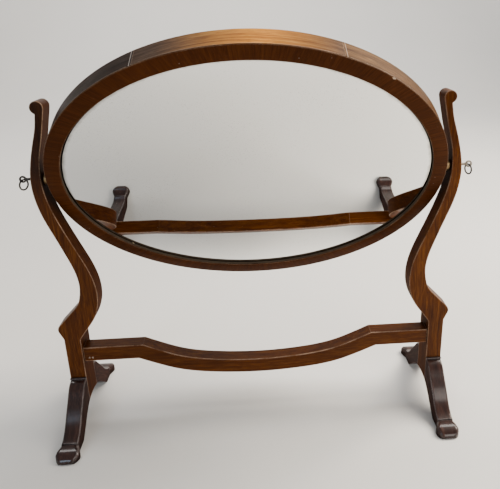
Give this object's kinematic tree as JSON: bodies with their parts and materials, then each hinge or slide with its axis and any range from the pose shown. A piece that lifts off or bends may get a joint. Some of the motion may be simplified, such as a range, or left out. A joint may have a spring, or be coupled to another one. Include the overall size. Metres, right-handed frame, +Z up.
{
  "type": "tilting vanity mirror",
  "caption": "Oval veneered mirror that tilts between scroll-topped uprights on splayed slipper-toed legs, clamped by brass ring screws.",
  "frame": {"origin": "on the table top, under the middle of the overall width and depth", "axes": "+Z up, -Y towards the person using it, +X to the right as that person sees it; the pivot axis runs along X"},
  "size_m": [0.5024, 0.1936, 0.4665],
  "materials": {
    "mahogany": "worn French polish, semi-gloss",
    "dark_leg_wood": "dark, glossy polish",
    "face_veneer": "dark crossbanded veneer, polished",
    "rim_veneer": "long-grain veneer, polished, worn arrises",
    "core_wood": "bare softwood, aged",
    "backboard_wood": "thin stained board",
    "dowel_wood": "bare",
    "silvered_glass": "silvered behind, polished",
    "brass": "aged, rubbed bright on the high spots",
    "steel": "dull pin ends"
  },
  "bodies": {
    "stand": {"left_upright": "mahogany", "right_upright": "mahogany", "left_front_leg": "dark_leg_wood", "left_rear_leg": "dark_leg_wood", "right_front_leg": "dark_leg_wood", "right_rear_leg": "dark_leg_wood", "leg_dowels": "dowel_wood", "stretcher": "mahogany", "stretcher_dowels": "dowel_wood", "joint_pins": "steel"},
    "mirror": {"frame_segment_1": "core_wood", "frame_segment_2": "core_wood", "frame_segment_3": "core_wood", "frame_segment_4": "core_wood", "frame_segment_5": "core_wood", "frame_segment_6": "core_wood", "frame_segment_7": "core_wood", "frame_segment_8": "core_wood", "rim_veneer_upper": "rim_veneer", "rim_veneer_left": "rim_veneer", "rim_veneer_right": "rim_veneer", "face_veneer": "face_veneer", "mirror_plate": "silvered_glass", "glazing_blocks": "core_wood", "backboard": "backboard_wood", "back_screws": "brass", "left_pivot_plate": "brass", "right_pivot_plate": "brass", "plate_screws": "brass"},
    "left_thumb_screw": {"left_thumb_screw": "brass"},
    "left_drop_ring": {"left_drop_ring": "brass"},
    "right_thumb_screw": {"right_thumb_screw": "brass"},
    "right_drop_ring": {"right_drop_ring": "brass"}
  },
  "joints": [
    {"name": "mirror_tilt", "type": "hinge", "parent": "stand", "child": "mirror", "pos_m": [0, 0.00328, 0.3116], "axis": [1, 0, 0], "continuous": true},
    {"name": "left_screw_turn", "type": "hinge", "parent": "stand", "child": "left_thumb_screw", "pos_m": [-0.2358, 0.00328, 0.3116], "axis": [-1, 0, 0], "continuous": true},
    {"name": "left_ring_swing", "type": "hinge", "parent": "left_thumb_screw", "child": "left_drop_ring", "pos_m": [-0.2473, 0.00328, 0.31105], "axis": [0, 1, 0], "range_deg": [-50, 230]},
    {"name": "right_screw_turn", "type": "hinge", "parent": "stand", "child": "right_thumb_screw", "pos_m": [0.2358, 0.00328, 0.3116], "axis": [1, 0, 0], "continuous": true},
    {"name": "right_ring_swing", "type": "hinge", "parent": "right_thumb_screw", "child": "right_drop_ring", "pos_m": [0.2473, 0.00328, 0.31105], "axis": [0, -1, 0], "range_deg": [-50, 230]}
  ]
}
